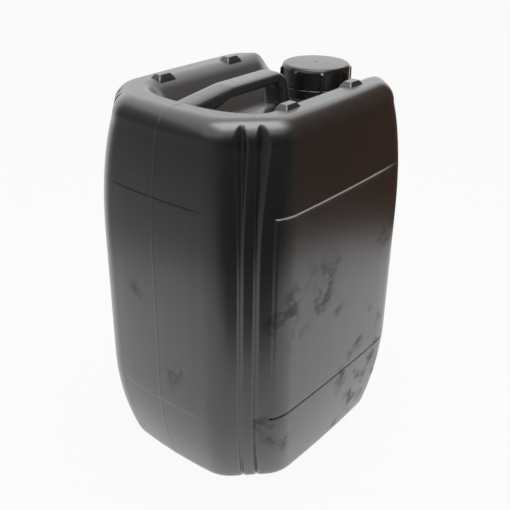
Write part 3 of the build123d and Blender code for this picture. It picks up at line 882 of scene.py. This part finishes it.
def whiteToCamera(tree):  # 1 for rays that show the background: straight, mirrored or through glass
    path = addNode(tree, "ShaderNodeLightPath")
    rays = mathNode(tree, "MAXIMUM", path.outputs["Is Camera Ray"], path.outputs["Is Glossy Ray"])
    return mathNode(tree, "MAXIMUM", rays, path.outputs["Is Transmission Ray"])


def makeFloor():
    half = stage["floorSize"] / 2
    mesh = bpy.data.meshes.new("floor")
    corners = [(-half, -half, 0), (half, -half, 0), (half, half, 0), (-half, half, 0)]
    mesh.from_pydata(corners, [], [(0, 1, 2, 3)])
    floor = bpy.data.objects.new("floor", mesh)
    bpy.context.scene.collection.objects.link(floor)
    material = bpy.data.materials.new("floorPale")
    material.use_nodes = True
    tree = material.node_tree
    shader = tree.nodes["Principled BSDF"]
    shader.inputs["Base Color"].default_value = (*stage["floorColour"], 1)
    shader.inputs["Roughness"].default_value = stage["floorRoughness"]
    shader.inputs["Specular IOR Level"].default_value = stage["floorSpecular"]
    glow = addNode(tree, "ShaderNodeEmission", Strength=1.0)
    mix = addNode(tree, "ShaderNodeMixShader")
    white = mathNode(tree, "MULTIPLY", whiteToCamera(tree), stage["whiteShare"])
    tree.links.new(white, mix.inputs[0])
    tree.links.new(shader.outputs[0], mix.inputs[1])
    tree.links.new(glow.outputs[0], mix.inputs[2])
    tree.links.new(mix.outputs[0], tree.nodes["Material Output"].inputs["Surface"])
    mesh.materials.append(material)


def makeCards():
    # a curved black card on the camera's side, seen only in the gloss, so that the upper walls stay dark;
    # its grey and warm glow paint reflections on the walls
    turn = np.linspace(*card["turn"])
    near = np.exp(-(((turn - card["bulgeTurn"]) / card["bulgeSpread"]) ** 2))
    radius = card["radius"] - card["bulge"] * near
    x, y = radius * np.cos(np.radians(turn)), radius * np.sin(np.radians(turn))
    tall = card["height"] + 0 * turn
    for rise, start, stop in card["rises"]:
        tall = tall + rise * easeStep(start, stop, turn)
    low = np.stack([x, y, 0 * turn + card["lift"]], -1)
    high = np.stack([x, y, tall], -1)
    count = len(turn)
    quads = [(i, i + 1, count + i + 1, count + i) for i in range(count - 1)]
    mesh = bpy.data.meshes.new("cards")
    mesh.from_pydata(np.vstack([low, high]).tolist(), [], quads)
    cards = bpy.data.objects.new("cards", mesh)
    bpy.context.scene.collection.objects.link(cards)
    material = bpy.data.materials.new("cardBlack")
    material.use_nodes = True
    tree = material.node_tree
    shader = tree.nodes["Principled BSDF"]
    shader.inputs["Base Color"].default_value = (*card["black"], 1)
    shader.inputs["Roughness"].default_value = 1.0
    shader.inputs["Specular IOR Level"].default_value = 0.0
    coords = addNode(tree, "ShaderNodeTexCoord")
    split = addNode(tree, "ShaderNodeSeparateXYZ")
    tree.links.new(coords.outputs["Object"], split.inputs["Vector"])
    warm = rangeNode(tree, split.outputs["X"], *card["warmReach"], 0.0, 1.0)
    grey = rangeNode(tree, split.outputs["Y"], *card["greyReach"], 0.0, 1.0)
    grey = mathNode(tree, "MULTIPLY", grey, rangeNode(tree, split.outputs["Z"], *card["greyFade"]))
    # painted reflections: the card glows grey in one part and warm in another, seen only in the gloss
    glow = addNode(tree, "ShaderNodeMix", data_type="RGBA")
    glow.inputs["A"].default_value = (*card["grey"], 1)
    glow.inputs["B"].default_value = (*card["warm"], 1)
    tree.links.new(warm, glow.inputs["Factor"])
    tree.links.new(glow.outputs["Result"], shader.inputs["Emission Color"])
    tree.links.new(mathNode(tree, "MAXIMUM", warm, grey), shader.inputs["Emission Strength"])
    mesh.materials.append(material)
    cards.visible_camera = False
    cards.visible_diffuse = False
    cards.visible_shadow = False
    cards.visible_transmission = False


def makeLamp(name, setting):
    data = bpy.data.lights.new(name, "AREA")
    data.shape = "RECTANGLE"
    data.size, data.size_y = setting["size"]
    data.energy = setting["power"]
    lamp = bpy.data.objects.new(name, data)
    lamp.location = setting["place"]
    aim = Vector(stage["aim"]) - lamp.location
    lamp.rotation_euler = aim.to_track_quat("-Z", "Y").to_euler()
    bpy.context.scene.collection.objects.link(lamp)


def makeWorld():
    world = bpy.data.worlds.new("studio")
    world.use_nodes = True
    tree = world.node_tree
    back = tree.nodes["Background"]
    back.inputs["Color"].default_value = (1, 1, 1, 1)
    level = rangeNode(tree, whiteToCamera(tree), 0.0, 1.0, stage["worldGrey"], 1.0)
    tree.links.new(level, back.inputs["Strength"])
    bpy.context.scene.world = world


camera = {
    "place": (-0.56887, -0.46016, 0.57591), "lens": 54.09, "sensor": 36.0,
    "right": (0.63240475, -0.77453887, 0.01240041),
    "up": (0.34925718, 0.29938121, 0.88791346),
    "back": (-0.69143594, -0.55718976, 0.45984336),
}


def makeCamera():
    data = bpy.data.cameras.new("photoCamera")
    data.lens = camera["lens"]
    data.sensor_width = camera["sensor"]
    viewer = bpy.data.objects.new("photoCamera", data)
    axes = Matrix((camera["right"], camera["up"], camera["back"])).transposed().to_4x4()
    viewer.matrix_world = Matrix.Translation(camera["place"]) @ axes
    bpy.context.scene.collection.objects.link(viewer)
    bpy.context.scene.camera = viewer


makeFloor()
makeCards()
makeLamp("backLamp", stage["backLamp"])
makeLamp("topLamp", stage["topLamp"])
makeWorld()
makeCamera()
bpy.context.scene.view_settings.view_transform = "Standard"
print("stage set")
